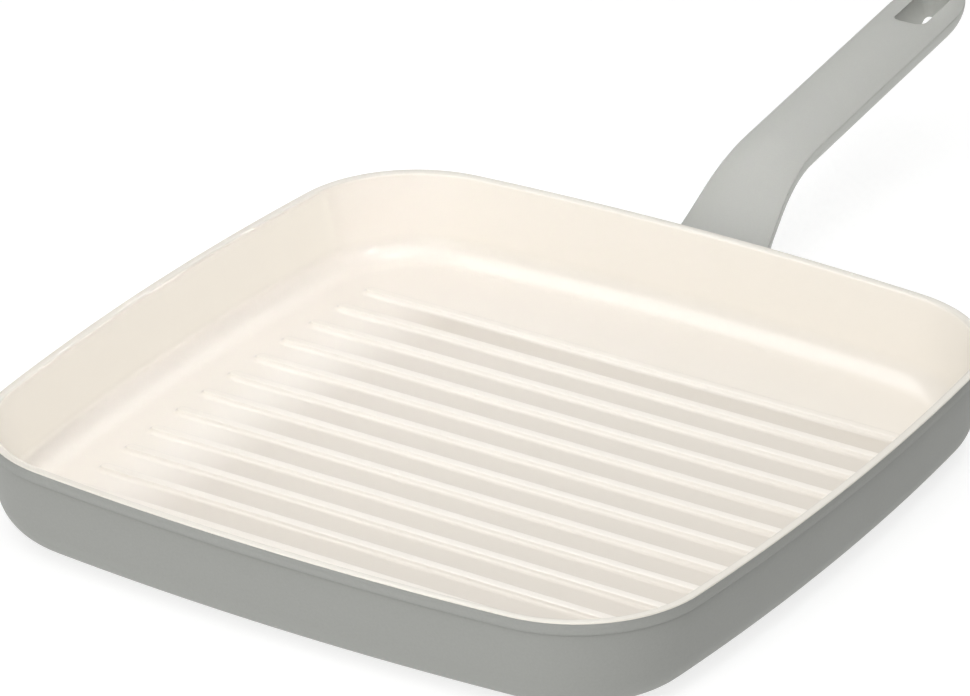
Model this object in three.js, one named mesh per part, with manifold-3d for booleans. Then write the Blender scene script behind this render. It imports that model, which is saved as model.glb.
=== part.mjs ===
// Square grill pan: a cast aluminium body with searing ridges, a cream ceramic lining, a grey outer
// enamel, a perforated steel plate pressed into the base, and a moulded handle held by one screw.
// Millimetres. The origin is the middle of the base, +X runs along the handle and +Z is up.
import * as THREE from "three";
import { mergeVertices } from "three/addons/utils/BufferGeometryUtils.js";
import Module from "manifold-3d";

const wasm = await Module();
wasm.setup();

const radians = THREE.MathUtils.degToRad;

// Pan outline and height
const PAN_WIDTH = 280; // across the middles of two opposite sides, at the rim
const PAN_HEIGHT = 38;
const CORNER_RADIUS = 49;
const SIDE_BOW_RADIUS = 1040; // the sides bow outwards a little

// Wall and floor section
const WALL_DRAFT = radians(8); // lean of the wall from upright
const RIM_WIDTH = 3.4; // flat top of the wall with its coats
const RIM_ROUND = 1.2; // inner edge of the rim
const RIM_BAND_HEIGHT = 5;
const RIM_BAND_STEP = 0.8; // how far the band stands out from the wall below it
const COOKING_DEPTH = 31.7; // from the rim down to the floor between the ridges
const FLOOR_FILLET = 10;
const BASE_EDGE_RADIUS = 15;
const FOOT_HEIGHT = 0.8; // bare machined foot below the enamel
const LINING_THICKNESS = 0.4;
const ENAMEL_THICKNESS = 0.3;
const COAT_GAP = 0.05; // between each coat and the metal it covers

// Searing ridges, which run across the handle's direction
const RIDGE_COUNT = 12;
const RIDGE_PITCH = 16.2;
const RIDGE_HEIGHT = 1.5;
const RIDGE_TOP_WIDTH = 4;
const RIDGE_FLANK = 1.5; // how far each side spreads between top and foot
const RIDGE_END_INSET = 27; // from the pan's outline to a ridge's end

// Steel plate in the base
const PLATE_INSET = 40; // from the pan's outline to the plate's edge
const PLATE_THICKNESS = 1;
const PLATE_HOLE_DIAMETER = 8;
const PLATE_HOLE_PITCH = 28;
const PLATE_HOLES_PER_SIDE = 6;
const PLATE_FIT = 0.3;

// Cast lug that carries the handle, and the screw in it
const LUG_WIDTH = 20;
const LUG_HEIGHT = 10;
const LUG_CORNER = 2;
const LUG_REACH = 8; // past the pan's outline
const LUG_ROOT = 0.5; // how deep the lug merges into the wall
const SCREW_HEIGHT = 15; // screw axis above the base
const SCREW_DIAMETER = 5;
const SCREW_LENGTH = 14;
const SCREW_HEAD_DIAMETER = 9;
const SCREW_HEAD_HEIGHT = 3;
const SCREW_SLOT_WIDTH = 1.2;
const SCREW_SLOT_LENGTH = 5;
const SCREW_SLOT_DEPTH = 1.6;
const TAPPED_DEPTH = 9;
const WASHER_DIAMETER = 10;
const WASHER_THICKNESS = 1;
const SPRING_WASHER_DIAMETER = 8.6;
const SPRING_WASHER_THICKNESS = 1.2;
const SPRING_WASHER_GAP = radians(16);
const SCREW_FIT = 0.3; // round the screw, the lug and the washers

// Handle: its top line runs from the wall through two bends to the tip
const HANDLE_ROOT_HEIGHT = 23.8; // top line where it leaves the pan's outline
const HANDLE_ROOT_SLOPE = radians(5);
const HANDLE_FOOT_SLOPE = radians(37.5);
const HANDLE_GRIP_SLOPE = radians(7.2);
const HANDLE_FLARE_RADIUS = 34;
const HANDLE_FOOT_RUN = 13; // straight stretch between the bends
const HANDLE_BEND_RADIUS = 60;
const HANDLE_GRIP_LENGTH = 125.5;
const HANDLE_GRIP_WIDTH = 28;
const HANDLE_FOOT_WIDTH = 41;
const HANDLE_FLARE_POWER = 1.5; // how quickly the foot narrows to the grip
const HANDLE_CROWN = 2.2; // rise of the top face across its width
const HANDLE_GRIP_DEPTH = 12.4; // rounded underside below the top edges
const HANDLE_HEEL_DEPTH = 19.5; // the same at the wall, round the lug
const HANDLE_HEEL_START = 8; // where the heel begins to thin, along the top line
const HANDLE_HEEL_END = 22;
const HANDLE_TIP_LENGTH = 23.5;
const HANDLE_WEB = 3.5; // between the lug's end and the screw's seat
const HANDLE_GAP = 0.4; // between the handle and the pan's wall
const HOLE_LENGTH = 26;
const HOLE_WIDTH = 12.8;
const HOLE_CORNER = 4;
const HOLE_TIP_MARGIN = 8.5;

// Facet counts
const SIDE_STEPS = 6;
const CORNER_STEPS = 8;
const LIP_STEPS = 2;
const FILLET_STEPS = 4;
const BASE_STEPS = 5;
const RIDGE_END_STEPS = 4;
const HOLE_STEPS = 8;
const ROUND_STEPS = 24;
const CROWN_STEPS = 6;
const BELLY_STEPS = 10;
const HANDLE_STEPS = 26;
const TIP_STEPS = 6;

const ALUMINIUM = new THREE.MeshStandardMaterial({ color: 0xb9bbbc, roughness: 0.45, metalness: 1 });
const CERAMIC = new THREE.MeshStandardMaterial({ color: 0xf3eadb, roughness: 0.25, metalness: 0 });
const ENAMEL = new THREE.MeshStandardMaterial({ color: 0xa4a59f, roughness: 0.5, metalness: 0 });
const PLATE_STEEL = new THREE.MeshStandardMaterial({ color: 0x9b9c9d, roughness: 0.35, metalness: 1 });
const PHENOLIC = new THREE.MeshStandardMaterial({ color: 0xc3c4bf, roughness: 0.55, metalness: 0 });
const SCREW_STEEL = new THREE.MeshStandardMaterial({ color: 0xc9c9c6, roughness: 0.3, metalness: 1 });

const UP = new THREE.Vector3(0, 0, 1);
const QUARTER = Math.PI / 2;

// Surfaces: a flat list of triangle corners that grows ring by ring.

// Joins two rings with as many points each. Going out along the base, up the outside, over the rim
// and down the inside, every band faces out of the metal.
function addBand(surface, from, to) {
  from.forEach((corner, i) => {
    const next = (i + 1) % from.length;
    surface.push(corner, from[next], to[next]);
    surface.push(corner, to[next], to[i]);
  });
}

function addBands(surface, rings) {
  rings.slice(1).forEach((ring, i) => addBand(surface, rings[i], ring));
}

// A flat face inside a ring. Each stack is a bump on it: a list of rings from its foot to its top.
function addFace(surface, ring, stacks, facesUp) {
  const feet = stacks.map((stack) => stack[0]);
  const corners = [ring, ...feet].flat();
  THREE.ShapeUtils.triangulateShape([...ring], feet).forEach(([a, b, c]) => {
    surface.push(corners[a], corners[facesUp ? b : c], corners[facesUp ? c : b]);
  });
  stacks.forEach((stack) => {
    addBands(surface, facesUp ? stack : [...stack].reverse());
    addFace(surface, stack.at(-1), [], facesUp);
  });
}

function geometryOf(surface) {
  const corners = surface.flatMap((corner) => corner.toArray());
  const loose = new THREE.BufferGeometry();
  loose.setAttribute("position", new THREE.Float32BufferAttribute(corners, 3));
  return mergeVertices(loose);
}

// Booleans: a closed geometry as a solid, and back.

function solidOf(geometry) {
  const bare = new THREE.BufferGeometry();
  bare.setAttribute("position", geometry.getAttribute("position"));
  bare.setIndex(geometry.index);
  const merged = mergeVertices(bare);
  return new wasm.Manifold(
    new wasm.Mesh({
      numProp: 3,
      vertProperties: merged.getAttribute("position").array,
      triVerts: new Uint32Array(merged.index.array),
    }),
  );
}

function geometryFrom(solid) {
  const mesh = solid.getMesh();
  const geometry = new THREE.BufferGeometry();
  geometry.setAttribute("position", new THREE.BufferAttribute(mesh.vertProperties, mesh.numProp));
  geometry.setIndex(new THREE.BufferAttribute(mesh.triVerts, 1));
  return geometry;
}

// Pan outline: bowed sides with round corners. An inset keeps every arc's centre.

const bowCentre = PAN_WIDTH / 2 - SIDE_BOW_RADIUS;
const cornerToBow = SIDE_BOW_RADIUS - CORNER_RADIUS;
const cornerCentre = (bowCentre + Math.sqrt(2 * cornerToBow ** 2 - bowCentre ** 2)) / 2;
const bowAngle = Math.atan2(cornerCentre, cornerCentre - bowCentre);

function panRing(inset, height) {
  const side = new THREE.ArcCurve(bowCentre, 0, SIDE_BOW_RADIUS - inset, -bowAngle, bowAngle);
  const corner = new THREE.ArcCurve(
    cornerCentre, cornerCentre, CORNER_RADIUS - inset, bowAngle, QUARTER - bowAngle,
  );
  const quarter = [
    ...side.getPoints(SIDE_STEPS).slice(0, -1),
    ...corner.getPoints(CORNER_STEPS).slice(0, -1),
  ];
  return [0, 1, 2, 3].flatMap((turn) =>
    quarter.map((p) => new THREE.Vector3(p.x, p.y, height).applyAxisAngle(UP, turn * QUARTER)),
  );
}

// A wall section is a list of points whose x is the inset and y the height.
function sectionRings(section) {
  return section.map((point) => panRing(point.x, point.y));
}

const floorHeight = PAN_HEIGHT - COOKING_DEPTH;
const drawCos = Math.cos(WALL_DRAFT);
const drawSin = Math.sin(WALL_DRAFT);

// Arc centres of the rim's inner edge and of the floor fillet, which share the wall's line.
const lipCentre = new THREE.Vector2(RIM_WIDTH - RIM_ROUND * drawCos, PAN_HEIGHT - RIM_ROUND);
const filletHeight = floorHeight + FLOOR_FILLET;
const innerLine = lipCentre.x * drawCos + lipCentre.y * drawSin + RIM_ROUND;
const filletCentre = new THREE.Vector2(
  (innerLine + FLOOR_FILLET - filletHeight * drawSin) / drawCos,
  filletHeight,
);

// The cooking side, from the flat of the rim down to the floor, a given depth inside its face.
function innerSection(depth) {
  const lip = new THREE.ArcCurve(lipCentre.x, lipCentre.y, RIM_ROUND - depth, QUARTER, WALL_DRAFT, true);
  const fillet = new THREE.ArcCurve(
    filletCentre.x, filletCentre.y, FLOOR_FILLET + depth, Math.PI + WALL_DRAFT, 3 * QUARTER,
  );
  return [...lip.getPoints(LIP_STEPS), ...fillet.getPoints(FILLET_STEPS)];
}

// The outside, from the foot up to the rim, a given depth inside its face.
const bandFoot = PAN_HEIGHT - RIM_BAND_HEIGHT;
const wallTop = bandFoot - RIM_BAND_STEP;
const metalInside = LINING_THICKNESS + COAT_GAP;
const metalOutside = ENAMEL_THICKNESS + COAT_GAP;
const lipHeight = PAN_HEIGHT - LINING_THICKNESS;
const edgeHeight = FOOT_HEIGHT + BASE_EDGE_RADIUS;
const outerLine = RIM_BAND_STEP * drawCos + wallTop * drawSin;
const edgeCentre = new THREE.Vector2(
  (outerLine + BASE_EDGE_RADIUS - edgeHeight * drawSin) / drawCos,
  edgeHeight,
);

function outerSection(depth) {
  const edge = new THREE.ArcCurve(
    edgeCentre.x, edgeCentre.y, BASE_EDGE_RADIUS - depth, 3 * QUARTER, Math.PI + WALL_DRAFT, true,
  );
  return [
    ...edge.getPoints(BASE_STEPS),
    new THREE.Vector2(RIM_BAND_STEP + depth, wallTop),
    new THREE.Vector2(depth, bandFoot),
    new THREE.Vector2(depth, lipHeight - COAT_GAP),
  ];
}

// The pan's outside as a filled solid, for cutting what meets it.
function filledOutside(depth) {
  const rings = sectionRings(outerSection(depth));
  const surface = [];
  addFace(surface, rings[0], [], false);
  addBands(surface, rings);
  addFace(surface, rings.at(-1), [], true);
  return solidOf(geometryOf(surface));
}

// Ridges: round-ended bars whose ends follow the bowed wall.

function ridgeRing(x, halfLength, halfWidth, height) {
  const end = new THREE.ArcCurve(0, halfLength, halfWidth, 0, Math.PI).getPoints(RIDGE_END_STEPS);
  const far = end.map((p) => new THREE.Vector3(x + p.x, p.y, height));
  const near = end.map((p) => new THREE.Vector3(x - p.x, -p.y, height));
  return [...far, ...near];
}

function ridgeStacks(depth) {
  const endBow = SIDE_BOW_RADIUS - RIDGE_END_INSET;
  return Array.from({ length: RIDGE_COUNT }, (_, i) => {
    const x = (i - (RIDGE_COUNT - 1) / 2) * RIDGE_PITCH;
    const halfLength = bowCentre + Math.sqrt(endBow ** 2 - x ** 2) - RIDGE_TOP_WIDTH / 2;
    const halfTop = RIDGE_TOP_WIDTH / 2 - depth;
    const foot = ridgeRing(x, halfLength, halfTop + RIDGE_FLANK, floorHeight - depth);
    const top = ridgeRing(x, halfLength, halfTop, floorHeight + RIDGE_HEIGHT - depth);
    return [foot, top];
  });
}

// Steel plate: holes on a square grid that leaves the middle whole.

function roundRing(x, y, radius, height) {
  const circle = new THREE.ArcCurve(x, y, radius, 0, 4 * QUARTER);
  return circle.getPoints(HOLE_STEPS).slice(0, -1).map((p) => new THREE.Vector3(p.x, p.y, height));
}

const plateHoleCentres = [];
for (let i = 0; i < PLATE_HOLES_PER_SIDE; i++) {
  for (let j = 0; j < PLATE_HOLES_PER_SIDE; j++) {
    const middle = (PLATE_HOLES_PER_SIDE - 1) / 2;
    plateHoleCentres.push(
      new THREE.Vector2((i - middle) * PLATE_HOLE_PITCH, (j - middle) * PLATE_HOLE_PITCH),
    );
  }
}

function basePlate() {
  const radius = PLATE_HOLE_DIAMETER / 2;
  const shape = new THREE.Shape(panRing(PLATE_INSET, 0));
  shape.holes = plateHoleCentres.map((c) => new THREE.Path(roundRing(c.x, c.y, radius, 0)));
  return new THREE.ExtrudeGeometry(shape, { depth: PLATE_THICKNESS, bevelEnabled: false });
}

// Lug and screw, along +X

const lugEnd = PAN_WIDTH / 2 + LUG_REACH;
const screwSeat = lugEnd + SCREW_FIT + HANDLE_WEB;
const headSeat = screwSeat + WASHER_THICKNESS + SPRING_WASHER_THICKNESS;

// Turns a shape drawn across and up into a bar that runs along +X at the screw's height.
function barAlongX(shape, fromX, toX) {
  const bar = new THREE.ExtrudeGeometry(shape, {
    depth: toX - fromX,
    bevelEnabled: false,
    curveSegments: LIP_STEPS,
  });
  const turn = new THREE.Matrix4().makeBasis(
    new THREE.Vector3(0, 1, 0),
    new THREE.Vector3(0, 0, 1),
    new THREE.Vector3(1, 0, 0),
  );
  return bar.applyMatrix4(turn).translate(fromX, 0, SCREW_HEIGHT);
}

function roundedRectangle(width, height, corner) {
  const x = width / 2 - corner;
  const y = height / 2 - corner;
  const shape = new THREE.Shape();
  shape.absarc(x, -y, corner, -QUARTER, 0);
  shape.absarc(x, y, corner, 0, QUARTER);
  shape.absarc(-x, y, corner, QUARTER, 2 * QUARTER);
  shape.absarc(-x, -y, corner, 2 * QUARTER, 3 * QUARTER);
  return shape;
}

function lugBar(growth) {
  const shape = roundedRectangle(LUG_WIDTH + 2 * growth, LUG_HEIGHT + 2 * growth, LUG_CORNER + growth);
  return solidOf(barAlongX(shape, 0, lugEnd + growth));
}

function roundBar(radius, fromX, toX) {
  const bar = new THREE.CylinderGeometry(radius, radius, toX - fromX, ROUND_STEPS);
  return solidOf(bar.rotateZ(-QUARTER).translate((fromX + toX) / 2, 0, SCREW_HEIGHT));
}

function washer(outerRadius, thickness, gap, seatX) {
  const innerRadius = SCREW_DIAMETER / 2 + SCREW_FIT;
  const shape = new THREE.Shape();
  if (gap > 0) {
    shape.absarc(0, 0, outerRadius, gap / 2, 4 * QUARTER - gap / 2);
    shape.absarc(0, 0, innerRadius, 4 * QUARTER - gap / 2, gap / 2, true);
  } else {
    shape.absarc(0, 0, outerRadius, 0, 4 * QUARTER);
    shape.holes = [new THREE.Path().absarc(0, 0, innerRadius, 0, 4 * QUARTER)];
  }
  const ring = new THREE.ExtrudeGeometry(shape, {
    depth: thickness,
    bevelEnabled: false,
    curveSegments: ROUND_STEPS,
  });
  return ring.rotateY(QUARTER).translate(seatX, 0, SCREW_HEIGHT);
}

function screw() {
  const shank = SCREW_DIAMETER / 2;
  const head = SCREW_HEAD_DIAMETER / 2;
  const profile = [
    new THREE.Vector2(0, -SCREW_LENGTH),
    new THREE.Vector2(shank, -SCREW_LENGTH),
    new THREE.Vector2(shank, 0),
    new THREE.Vector2(head, 0),
    new THREE.Vector2(head, SCREW_HEAD_HEIGHT / 2),
    new THREE.Vector2(shank, SCREW_HEAD_HEIGHT),
    new THREE.Vector2(0, SCREW_HEAD_HEIGHT),
  ];
  let body = solidOf(new THREE.LatheGeometry(profile, ROUND_STEPS));
  for (const turn of [0, QUARTER]) {
    const slot = new THREE.BoxGeometry(SCREW_SLOT_LENGTH, 2 * SCREW_SLOT_DEPTH, SCREW_SLOT_WIDTH);
    body = body.subtract(solidOf(slot.rotateY(turn).translate(0, SCREW_HEAD_HEIGHT, 0)));
  }
  return geometryFrom(body).rotateZ(-QUARTER).translate(headSeat, 0, SCREW_HEIGHT);
}

// Handle: sections set square to its top line, each with a crowned top and a rounded underside.

function handleTopLine() {
  const line = new THREE.Path().moveTo(PAN_WIDTH / 2, HANDLE_ROOT_HEIGHT);
  const start = line.currentPoint;
  line.absarc(
    start.x - HANDLE_FLARE_RADIUS * Math.sin(HANDLE_ROOT_SLOPE),
    start.y + HANDLE_FLARE_RADIUS * Math.cos(HANDLE_ROOT_SLOPE),
    HANDLE_FLARE_RADIUS,
    HANDLE_ROOT_SLOPE - QUARTER,
    HANDLE_FOOT_SLOPE - QUARTER,
  );
  const run = new THREE.Vector2(Math.cos(HANDLE_FOOT_SLOPE), Math.sin(HANDLE_FOOT_SLOPE));
  const knee = line.currentPoint.clone().addScaledVector(run, HANDLE_FOOT_RUN);
  line.lineTo(knee.x, knee.y);
  line.absarc(
    knee.x + HANDLE_BEND_RADIUS * Math.sin(HANDLE_FOOT_SLOPE),
    knee.y - HANDLE_BEND_RADIUS * Math.cos(HANDLE_FOOT_SLOPE),
    HANDLE_BEND_RADIUS,
    HANDLE_FOOT_SLOPE + QUARTER,
    HANDLE_GRIP_SLOPE + QUARTER,
    true,
  );
  const grip = new THREE.Vector2(Math.cos(HANDLE_GRIP_SLOPE), Math.sin(HANDLE_GRIP_SLOPE));
  const tip = line.currentPoint.clone().addScaledVector(grip, HANDLE_GRIP_LENGTH);
  return line.lineTo(tip.x, tip.y);
}

const topLine = handleTopLine();
const topLength = topLine.getLength();
const gripStart = topLength - HANDLE_GRIP_LENGTH;

// The frame of a section: a matrix whose X runs along the top line, Y across and Z out of the top.
function handleFrame(along) {
  const clamped = THREE.MathUtils.clamp(along / topLength, 0, 1);
  const point = topLine.getPointAt(clamped);
  const tangent = topLine.getTangentAt(clamped);
  const overrun = along - clamped * topLength;
  const frame = new THREE.Matrix4().makeBasis(
    new THREE.Vector3(tangent.x, 0, tangent.y),
    new THREE.Vector3(0, 1, 0),
    new THREE.Vector3(-tangent.y, 0, tangent.x),
  );
  return frame.setPosition(point.x + overrun * tangent.x, 0, point.y + overrun * tangent.y);
}

function handleRing(along) {
  const flare = THREE.MathUtils.clamp(1 - along / gripStart, 0, 1) ** HANDLE_FLARE_POWER;
  const pastTip = Math.max(0, 1 - (topLength - along) / HANDLE_TIP_LENGTH);
  const roundTip = Math.sqrt(1 - pastTip ** 2);
  const width = (HANDLE_GRIP_WIDTH + (HANDLE_FOOT_WIDTH - HANDLE_GRIP_WIDTH) * flare) * roundTip;
  const heel = 1 - THREE.MathUtils.smoothstep(along, HANDLE_HEEL_START, HANDLE_HEEL_END);
  const depth = (HANDLE_GRIP_DEPTH + (HANDLE_HEEL_DEPTH - HANDLE_GRIP_DEPTH) * heel) * roundTip;
  const crown = new THREE.QuadraticBezierCurve(
    new THREE.Vector2(width / 2, 0),
    new THREE.Vector2(0, 2 * HANDLE_CROWN * roundTip),
    new THREE.Vector2(-width / 2, 0),
  );
  const belly = new THREE.EllipseCurve(0, 0, width / 2, depth, 2 * QUARTER, 4 * QUARTER);
  const section = [
    ...crown.getPoints(CROWN_STEPS).slice(0, -1),
    ...belly.getPoints(BELLY_STEPS).slice(0, -1),
  ];
  const frame = handleFrame(along);
  return section.map((p) => new THREE.Vector3(0, p.x, p.y).applyMatrix4(frame));
}

function handleBlank() {
  const wallDepth = PAN_HEIGHT * Math.tan(WALL_DRAFT) + RIM_BAND_STEP;
  const tipStart = topLength - HANDLE_TIP_LENGTH;
  const stations = [-wallDepth - HANDLE_GAP];
  for (let i = 0; i <= HANDLE_STEPS; i++) {
    stations.push((tipStart * i) / HANDLE_STEPS);
  }
  for (let i = 1; i < TIP_STEPS; i++) {
    stations.push(tipStart + HANDLE_TIP_LENGTH * Math.sin((QUARTER * i) / TIP_STEPS));
  }
  const rings = stations.map(handleRing);
  const surface = [];
  addBands(surface, rings);
  addEnd(surface, rings[0], true);
  addEnd(surface, rings.at(-1), false);
  return solidOf(geometryOf(surface));
}

// Closes the end of a loft with triangles from the ring's first point.
function addEnd(surface, ring, atStart) {
  for (let i = 1; i < ring.length - 1; i++) {
    surface.push(ring[0], ring[atStart ? i + 1 : i], ring[atStart ? i : i + 1]);
  }
}

function hangingHole() {
  const shape = roundedRectangle(HOLE_LENGTH, HOLE_WIDTH, HOLE_CORNER);
  const cut = HANDLE_HEEL_DEPTH;
  const bar = new THREE.ExtrudeGeometry(shape, {
    depth: 2 * cut,
    bevelEnabled: false,
    curveSegments: RIDGE_END_STEPS,
  });
  const middle = topLength - HOLE_TIP_MARGIN - HOLE_LENGTH / 2;
  return solidOf(bar.translate(0, 0, -cut).applyMatrix4(handleFrame(middle)));
}

function handle() {
  const screwEnd = lugEnd + HANDLE_GRIP_LENGTH;
  const seatRadius = WASHER_DIAMETER / 2 + SCREW_FIT;
  const shaped = handleBlank()
    .subtract(filledOutside(-HANDLE_GAP))
    .subtract(lugBar(SCREW_FIT))
    .subtract(roundBar(SCREW_DIAMETER / 2 + SCREW_FIT, PAN_WIDTH / 2, screwEnd))
    .subtract(roundBar(seatRadius, screwSeat, screwEnd))
    .subtract(hangingHole());
  return geometryFrom(shaped);
}

// Pan body: base, outside, rim, cooking side and ridged floor, then the lug with its tapped hole.

function panBody() {
  const pegs = plateHoleCentres.map((c) => {
    const radius = PLATE_HOLE_DIAMETER / 2 - PLATE_FIT;
    return [roundRing(c.x, c.y, radius, PLATE_THICKNESS), roundRing(c.x, c.y, radius, 0)];
  });
  const pocketEdge = PLATE_INSET - PLATE_FIT;
  const rings = [
    panRing(pocketEdge, PLATE_THICKNESS),
    panRing(pocketEdge, 0),
    panRing(edgeCentre.x + COAT_GAP, 0),
    ...sectionRings(outerSection(metalOutside)),
    ...sectionRings(innerSection(metalInside)),
  ];
  const surface = [];
  addFace(surface, rings[0], pegs, false);
  addBands(surface, rings);
  addFace(surface, rings.at(-1), ridgeStacks(metalInside), true);
  const lug = lugBar(0)
    .subtract(filledOutside(metalOutside + LUG_ROOT))
    .subtract(roundBar(SCREW_DIAMETER / 2 + SCREW_FIT, lugEnd - TAPPED_DEPTH, lugEnd + LUG_REACH));
  return geometryFrom(solidOf(geometryOf(surface)).add(lug));
}

// Ceramic lining: over the rim, down the wall and over every ridge, then back along its underside.

function ceramicLining() {
  const lip = panRing(0, lipHeight);
  const face = [
    lip,
    panRing(LINING_THICKNESS, PAN_HEIGHT),
    ...sectionRings(innerSection(0)),
  ];
  const back = [
    ...sectionRings(innerSection(LINING_THICKNESS)).reverse(),
    lip,
  ];
  const surface = [];
  addFace(surface, back[0], ridgeStacks(LINING_THICKNESS), false);
  addBands(surface, back);
  addBands(surface, face);
  addFace(surface, face.at(-1), ridgeStacks(0), true);
  return geometryOf(surface);
}

// Outer enamel: from the foot to the rim, with an opening for the lug.

function outerEnamel() {
  const face = sectionRings(outerSection(0));
  const back = sectionRings(outerSection(ENAMEL_THICKNESS)).reverse();
  const surface = [];
  addBands(surface, [...face, ...back, face[0]]);
  return geometryFrom(solidOf(geometryOf(surface)).subtract(lugBar(SCREW_FIT)));
}

const pan = new THREE.Group();

function addPiece(name, geometry, material) {
  geometry.computeVertexNormals();
  const mesh = new THREE.Mesh(geometry, material);
  mesh.name = name;
  pan.add(mesh);
}

addPiece("pan_body", panBody(), ALUMINIUM);
addPiece("ceramic_lining", ceramicLining(), CERAMIC);
addPiece("outer_enamel", outerEnamel(), ENAMEL);
addPiece("base_plate", basePlate(), PLATE_STEEL);
addPiece("handle", handle(), PHENOLIC);
addPiece("handle_washer", washer(WASHER_DIAMETER / 2, WASHER_THICKNESS, 0, screwSeat), SCREW_STEEL);
addPiece(
  "spring_washer",
  washer(SPRING_WASHER_DIAMETER / 2, SPRING_WASHER_THICKNESS, SPRING_WASHER_GAP, screwSeat + WASHER_THICKNESS),
  SCREW_STEEL,
);
addPiece("handle_screw", screw(), SCREW_STEEL);

export default pan;
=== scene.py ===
import math

import bmesh
import bpy
from mathutils import Matrix, Vector


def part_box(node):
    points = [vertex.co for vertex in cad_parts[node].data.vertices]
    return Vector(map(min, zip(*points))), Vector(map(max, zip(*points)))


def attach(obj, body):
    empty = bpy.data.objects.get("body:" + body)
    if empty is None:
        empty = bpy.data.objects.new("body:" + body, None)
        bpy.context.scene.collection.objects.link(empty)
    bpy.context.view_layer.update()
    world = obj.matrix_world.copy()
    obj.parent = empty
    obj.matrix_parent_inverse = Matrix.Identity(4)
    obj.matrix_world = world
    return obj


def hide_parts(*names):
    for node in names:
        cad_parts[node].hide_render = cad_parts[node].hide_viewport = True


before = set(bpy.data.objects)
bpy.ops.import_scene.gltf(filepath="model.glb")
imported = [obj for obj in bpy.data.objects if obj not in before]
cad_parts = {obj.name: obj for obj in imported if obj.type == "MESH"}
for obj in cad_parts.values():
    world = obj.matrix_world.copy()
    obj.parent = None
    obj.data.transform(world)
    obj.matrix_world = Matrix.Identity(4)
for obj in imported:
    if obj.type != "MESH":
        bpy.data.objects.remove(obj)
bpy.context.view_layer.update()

# Pan casting: one piece of gravity-cast aluminium, with floor, ridges, walls and a lug for the handle.
# Only its machined foot and the pegs pressed through the base plate stay bare: coats cover the rest.
MM = 0.001
QUARTER = math.pi / 2
lining_low, lining_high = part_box("ceramic_lining")
PAN_WIDTH = lining_high.y - lining_low.y
PAN_HEIGHT = lining_high.z
CORNER_RADIUS = 49 * MM
SIDE_BOW_RADIUS = 1040 * MM
SIDE_STEPS = 20
CORNER_STEPS = 22
LIP_STEPS = 6
FILLET_STEPS = 16
BAND_STEPS = 5
EDGE_STEPS = 18
WALL_DRAFT = math.radians(8)
RIM_WIDTH = 3.4 * MM
RIM_ROUND = 1.2 * MM
RIM_BAND_HEIGHT = 4.5 * MM
RIM_BAND_STEP = 0.8 * MM
RIM_BAND_ROUND = 0.4 * MM
RIM_BAND_UNDERCUT = math.radians(75)  # how far the step under the band turns from the wall
RIM_GROOVE_DEPTH = 0.25 * MM  # of the narrow groove under the band
RIM_GROOVE_WIDTH = 0.5 * MM
COOKING_DEPTH = 31.7 * MM
FLOOR_FILLET = 10 * MM
BASE_EDGE_RADIUS = 15 * MM
FOOT_HEIGHT = 0.8 * MM
LINING_THICKNESS = 0.4 * MM
ENAMEL_THICKNESS = 0.3 * MM
COAT_GAP = 0.05 * MM
SUPPORT_STRIP = 0.8 * MM  # flat strip beside each curve, which keeps the flat faces flat to the eye
SAME_CORNER = 0.05 * MM  # corners closer than this are one corner

bow_centre = PAN_WIDTH / 2 - SIDE_BOW_RADIUS
corner_to_bow = SIDE_BOW_RADIUS - CORNER_RADIUS
corner_centre = (bow_centre + math.sqrt(2 * corner_to_bow ** 2 - bow_centre ** 2)) / 2
bow_angle = math.atan2(corner_centre, corner_centre - bow_centre)


def closed_face(shape, first, last, edges_before):
    """Closes a chain of edges from first to last and fills it with one face."""
    if (first.co - last.co).length < SAME_CORNER:
        bmesh.ops.pointmerge(shape, verts=[first, last], merge_co=first.co)
    else:
        shape.edges.new((last, first))
    loop = [edge for edge in shape.edges if edge not in edges_before]
    return bmesh.ops.edgeloop_fill(shape, edges=loop)["faces"][0]


def open_edges(shape, known):
    """The edges along the open border of a shape, without those known already."""
    return [edge for edge in shape.edges if edge.is_boundary and edge not in known]


def turned_towards(face, up):
    """The face, turned to look up where up is 1, or down where it is -1."""
    face.normal_update()
    if face.normal.z * up < 0:
        face.normal_flip()
    return face


def pan_face(shape, inset, height, up):
    """A flat face with the pan's outline: bowed sides and round corners, each turned round its centre."""
    edges_before = set(shape.edges)
    reach = Matrix.Rotation(-bow_angle, 3, "Z") @ Vector((SIDE_BOW_RADIUS - inset, 0, 0))
    first = shape.verts.new(reach + Vector((bow_centre, 0, height)))
    last = first
    for quarter in range(4):
        turn = Matrix.Rotation(quarter * QUARTER, 3, "Z")
        side = turn @ Vector((bow_centre, 0, height))
        corner = turn @ Vector((corner_centre, corner_centre, height))
        for centre, angle, steps in (
            (side, 2 * bow_angle, SIDE_STEPS),
            (corner, QUARTER - 2 * bow_angle, CORNER_STEPS),
        ):
            arc = bmesh.ops.spin(shape, geom=[last], cent=centre, axis=(0, 0, 1), angle=angle, steps=steps)
            last = next(item for item in arc["geom_last"] if isinstance(item, bmesh.types.BMVert))
    return turned_towards(closed_face(shape, first, last, edges_before), up)


def arc_points(centre, radius, start, end, steps):
    """Points of a profile along an arc: x is the inset from the outline and y the height."""
    angles = [start + (end - start) * i / steps for i in range(steps + 1)]
    return [Vector((centre.x + radius * math.cos(a), centre.y + radius * math.sin(a))) for a in angles]


def sweep(shape, face, profile):
    """Carries the face along a profile and leaves a strip of wall behind at every step."""
    for near, far in zip(profile, profile[1:]):
        bmesh.ops.inset_region(
            shape,
            faces=[face],
            thickness=far.x - near.x,
            depth=(far.y - near.y) * math.copysign(1, face.normal.z),
            use_even_offset=True,
            use_boundary=True,
        )
        face.normal_update()


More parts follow.
